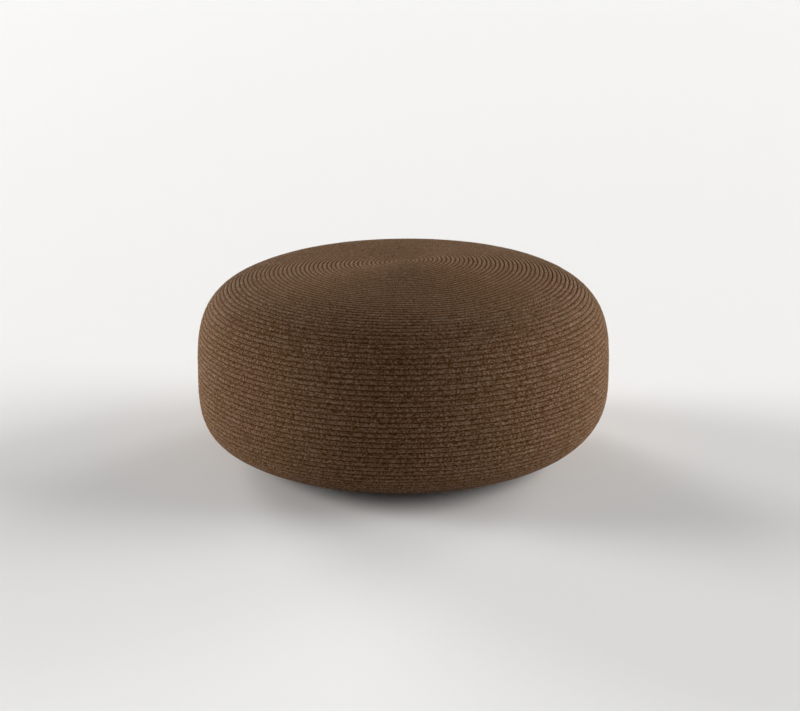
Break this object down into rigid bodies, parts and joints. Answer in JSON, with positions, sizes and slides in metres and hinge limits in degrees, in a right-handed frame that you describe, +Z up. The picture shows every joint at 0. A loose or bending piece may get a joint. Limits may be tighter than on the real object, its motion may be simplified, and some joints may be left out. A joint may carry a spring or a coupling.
{
  "type": "outdoor ottoman footstool",
  "caption": "Round outdoor ottoman footstool with a spiral braided cord cover, foam filling, zipped base and low feet.",
  "frame": {"origin": "on the floor, under the middle of the pouf", "axes": "+Z up along the axis of the round form, -Y towards the front, +X to the right"},
  "size_m": [0.88, 0.88, 0.412],
  "materials": {
    "braided_cord": "heathered brown outdoor braid, sewn round by round",
    "binding_tape": "twill binding",
    "base_cloth": "open weave coated mesh",
    "zip_tape": "woven polyester tape",
    "lining_cloth": "plain woven lining",
    "wadding": "bonded fibre",
    "soft_foam": "open cell foam",
    "firm_foam": "open cell foam",
    "board": "exterior plywood",
    "zip_coil": "moulded polyester coil",
    "dark_metal": "dark bronze enamel",
    "foot_plastic": "fine moulded texture",
    "pad_rubber": "soft rubber",
    "steel": "zinc plated"
  },
  "bodies": {
    "root": {"braid_cover": "braided_cord", "hem_binding": "binding_tape", "inner_lining": "lining_cloth", "fibre_wadding": "wadding", "seat_foam": "soft_foam", "core_foam": "firm_foam", "base_board": "board", "base_panel": "base_cloth", "zip_tape_outer": "zip_tape", "zip_tape_inner": "zip_tape", "zip_coil_outer": "zip_coil", "zip_coil_inner": "zip_coil", "seam_webbing": "binding_tape", "zip_stop_outer": "dark_metal", "zip_stop_inner": "dark_metal", "zip_stop_joining": "dark_metal", "foot_1": "foot_plastic", "foot_2": "foot_plastic", "foot_3": "foot_plastic", "foot_4": "foot_plastic", "foot_5": "foot_plastic", "foot_6": "foot_plastic", "foot_pad_1": "pad_rubber", "foot_pad_2": "pad_rubber", "foot_pad_3": "pad_rubber", "foot_pad_4": "pad_rubber", "foot_pad_5": "pad_rubber", "foot_pad_6": "pad_rubber", "foot_screw_1": "steel", "foot_screw_2": "steel", "foot_screw_3": "steel", "foot_screw_4": "steel", "foot_screw_5": "steel", "foot_screw_6": "steel", "tee_nut_1": "steel", "tee_nut_2": "steel", "tee_nut_3": "steel", "tee_nut_4": "steel", "tee_nut_5": "steel", "tee_nut_6": "steel"},
    "zip_slider": {"zip_slider": "dark_metal"},
    "zip_pull": {"zip_pull": "dark_metal"}
  },
  "joints": [
    {"name": "zip_travel", "type": "hinge", "parent": "root", "child": "zip_slider", "pos_m": [0, 0, 0.0153], "axis": [0, 0, 1], "range_deg": [0, 294.7]},
    {"name": "pull_swing", "type": "hinge", "parent": "zip_slider", "child": "zip_pull", "pos_m": [-0.15318, 0.24033, 0.01155], "axis": [0.5375, -0.8433, 0], "range_deg": [-23.5, 150]}
  ]
}
